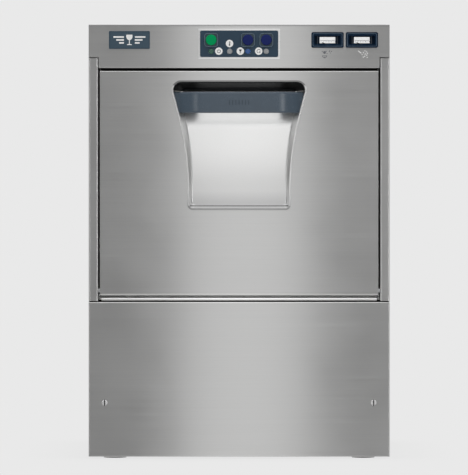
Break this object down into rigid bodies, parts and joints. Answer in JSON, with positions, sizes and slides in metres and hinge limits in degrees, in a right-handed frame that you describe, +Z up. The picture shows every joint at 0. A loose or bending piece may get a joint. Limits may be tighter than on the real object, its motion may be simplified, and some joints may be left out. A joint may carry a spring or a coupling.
{
  "type": "glass washer machine",
  "caption": "Undercounter glass washer: brushed steel cabinet, drop-down front door with a sunk pull handle, button plate, dial thermometers, wash chamber with rack and spray arms.",
  "frame": {"origin": "on the floor under the middle of the machine, with the levelling feet screwed right in", "axes": "+Z up, the door faces -Y, +X is to the right of someone facing the door"},
  "size_m": [0.47, 0.55, 0.678],
  "materials": {
    "panel_steel": "vertical brushed, satin",
    "cover_steel": "brushed, satin",
    "galvanised_steel": "zinc coated, dull",
    "chamber_steel": "fine ground",
    "polished_steel": "polished",
    "screw_steel": "turned",
    "spring_steel": "drawn wire",
    "tank_heater_steel": "heat tinted",
    "boiler_steel": "ground weld seams",
    "filter_steel": "perforated",
    "handle_plastic": "fine texture",
    "pocket_steel": "satin, pressed",
    "control_navy": "satin printed plate",
    "bezel_plastic": "satin",
    "button_green": "satin",
    "button_blue": "satin",
    "lamp_lens": "clear lens",
    "gauge_black": "satin",
    "pointer_dark": "matt",
    "badge_grey": "satin",
    "rubber_black": "matt",
    "rack_plastic": "moulded",
    "arm_plastic": "moulded",
    "spindle_plastic": "moulded",
    "standpipe_plastic": "moulded",
    "pump_plastic": "glass filled",
    "motor_aluminium": "cast",
    "rotor_steel": "laminated",
    "element_brass": "machined",
    "valve_plastic": "moulded",
    "gland_plastic": "moulded",
    "board_green": "soldermask",
    "thermostat_plastic": "moulded",
    "dispenser_plastic": "moulded",
    "foot_plastic": "moulded"
  },
  "bodies": {
    "cabinet": {"base_tray": "galvanised_steel", "left_side_panel": "panel_steel", "right_side_panel": "panel_steel", "rear_panel": "galvanised_steel", "top_cover": "cover_steel", "control_fascia": "panel_steel", "lower_front_panel": "panel_steel", "panel_screws": "screw_steel", "chamber_shell": "chamber_steel", "front_frame": "polished_steel", "door_gasket": "rubber_black", "wash_sump": "chamber_steel", "tank_heater": "tank_heater_steel", "filter_plates": "filter_steel", "suction_filter": "filter_steel", "rack_rails": "chamber_steel", "glass_rack": "rack_plastic", "lower_spindle": "spindle_plastic", "upper_spindle": "spindle_plastic", "arm_nuts": "spindle_plastic", "wash_manifold": "rubber_black", "pump_volute": "pump_plastic", "pump_motor": "motor_aluminium", "pump_suction_hose": "rubber_black", "rinse_boiler": "boiler_steel", "boiler_element": "element_brass", "rinse_hoses": "rubber_black", "inlet_valve": "valve_plastic", "drain_hose": "rubber_black", "cable_gland": "gland_plastic", "control_board": "board_green", "thermostats": "thermostat_plastic", "rinse_aid_dispenser": "dispenser_plastic", "control_plate": "control_navy", "button_bezels": "bezel_plastic", "indicator_lamps": "lamp_lens", "thermometers": "gauge_black", "badge_plate": "badge_grey", "hinge_brackets": "galvanised_steel", "door_springs": "spring_steel"},
    "door": {"door_outer_skin": "panel_steel", "door_inner_panel": "chamber_steel", "handle_pocket": "pocket_steel", "handle_grip": "handle_plastic", "hinge_arms": "galvanised_steel"},
    "power_button": {"power_button": "button_green"},
    "wash_button": {"wash_button": "button_blue"},
    "rinse_button": {"rinse_button": "button_blue"},
    "lower_wash_arm": {"lower_wash_arm": "arm_plastic"},
    "lower_rinse_arm": {"lower_rinse_arm": "polished_steel"},
    "upper_wash_arm": {"upper_wash_arm": "arm_plastic"},
    "upper_rinse_arm": {"upper_rinse_arm": "polished_steel"},
    "pump_rotor": {"pump_rotor": "rotor_steel"},
    "wash_pointer": {"wash_pointer": "pointer_dark"},
    "rinse_pointer": {"rinse_pointer": "pointer_dark"},
    "standpipe": {"standpipe": "standpipe_plastic"},
    "foot_front_left": {"foot_front_left": "foot_plastic"},
    "foot_front_right": {"foot_front_right": "foot_plastic"},
    "foot_rear_left": {"foot_rear_left": "foot_plastic"},
    "foot_rear_right": {"foot_rear_right": "foot_plastic"}
  },
  "joints": [
    {"name": "door_hinge", "type": "hinge", "parent": "cabinet", "child": "door", "pos_m": [0, -0.259, 0.2624], "axis": [1, 0, 0], "range_deg": [0, 90], "stiffness_Nm_per_rad": 2, "springref_deg": -17.19, "deforming": ["door_springs"]},
    {"name": "power_button_travel", "type": "slide", "parent": "cabinet", "child": "power_button", "axis": [0, 1, 0], "range_m": [0, 0.003], "stiffness_N_per_m": 800, "springref_m": -0.0015},
    {"name": "wash_button_travel", "type": "slide", "parent": "cabinet", "child": "wash_button", "axis": [0, 1, 0], "range_m": [0, 0.003], "stiffness_N_per_m": 800, "springref_m": -0.0015},
    {"name": "rinse_button_travel", "type": "slide", "parent": "cabinet", "child": "rinse_button", "axis": [0, 1, 0], "range_m": [0, 0.003], "stiffness_N_per_m": 800, "springref_m": -0.0015},
    {"name": "lower_wash_arm_spin", "type": "hinge", "parent": "cabinet", "child": "lower_wash_arm", "pos_m": [0, 0, 0.266], "axis": [0, 0, 1], "continuous": true},
    {"name": "lower_rinse_arm_spin", "type": "hinge", "parent": "cabinet", "child": "lower_rinse_arm", "pos_m": [0, 0, 0.283], "axis": [0, 0, 1], "continuous": true},
    {"name": "upper_wash_arm_spin", "type": "hinge", "parent": "cabinet", "child": "upper_wash_arm", "pos_m": [0, 0, 0.5845], "axis": [0, 0, 1], "continuous": true},
    {"name": "upper_rinse_arm_spin", "type": "hinge", "parent": "cabinet", "child": "upper_rinse_arm", "pos_m": [0, 0, 0.5675], "axis": [0, 0, 1], "continuous": true},
    {"name": "pump_spin", "type": "hinge", "parent": "cabinet", "child": "pump_rotor", "pos_m": [-0.08, -0.034, 0.084], "axis": [1, 0, 0], "continuous": true},
    {"name": "wash_pointer_turn", "type": "hinge", "parent": "cabinet", "child": "wash_pointer", "pos_m": [0.138, -0.264, 0.6472], "axis": [0, 1, 0], "range_deg": [0, 144]},
    {"name": "rinse_pointer_turn", "type": "hinge", "parent": "cabinet", "child": "rinse_pointer", "pos_m": [0.1917, -0.264, 0.6472], "axis": [0, 1, 0], "range_deg": [0, 144]},
    {"name": "standpipe_lift", "type": "slide", "parent": "cabinet", "child": "standpipe", "axis": [0, 0, 1], "range_m": [0, 0.035]},
    {"name": "foot_front_left_screw", "type": "slide", "parent": "cabinet", "child": "foot_front_left", "axis": [0, 0, -1], "range_m": [0, 0.025]},
    {"name": "foot_front_right_screw", "type": "slide", "parent": "cabinet", "child": "foot_front_right", "axis": [0, 0, -1], "range_m": [0, 0.025]},
    {"name": "foot_rear_left_screw", "type": "slide", "parent": "cabinet", "child": "foot_rear_left", "axis": [0, 0, -1], "range_m": [0, 0.025]},
    {"name": "foot_rear_right_screw", "type": "slide", "parent": "cabinet", "child": "foot_rear_right", "axis": [0, 0, -1], "range_m": [0, 0.025]}
  ]
}
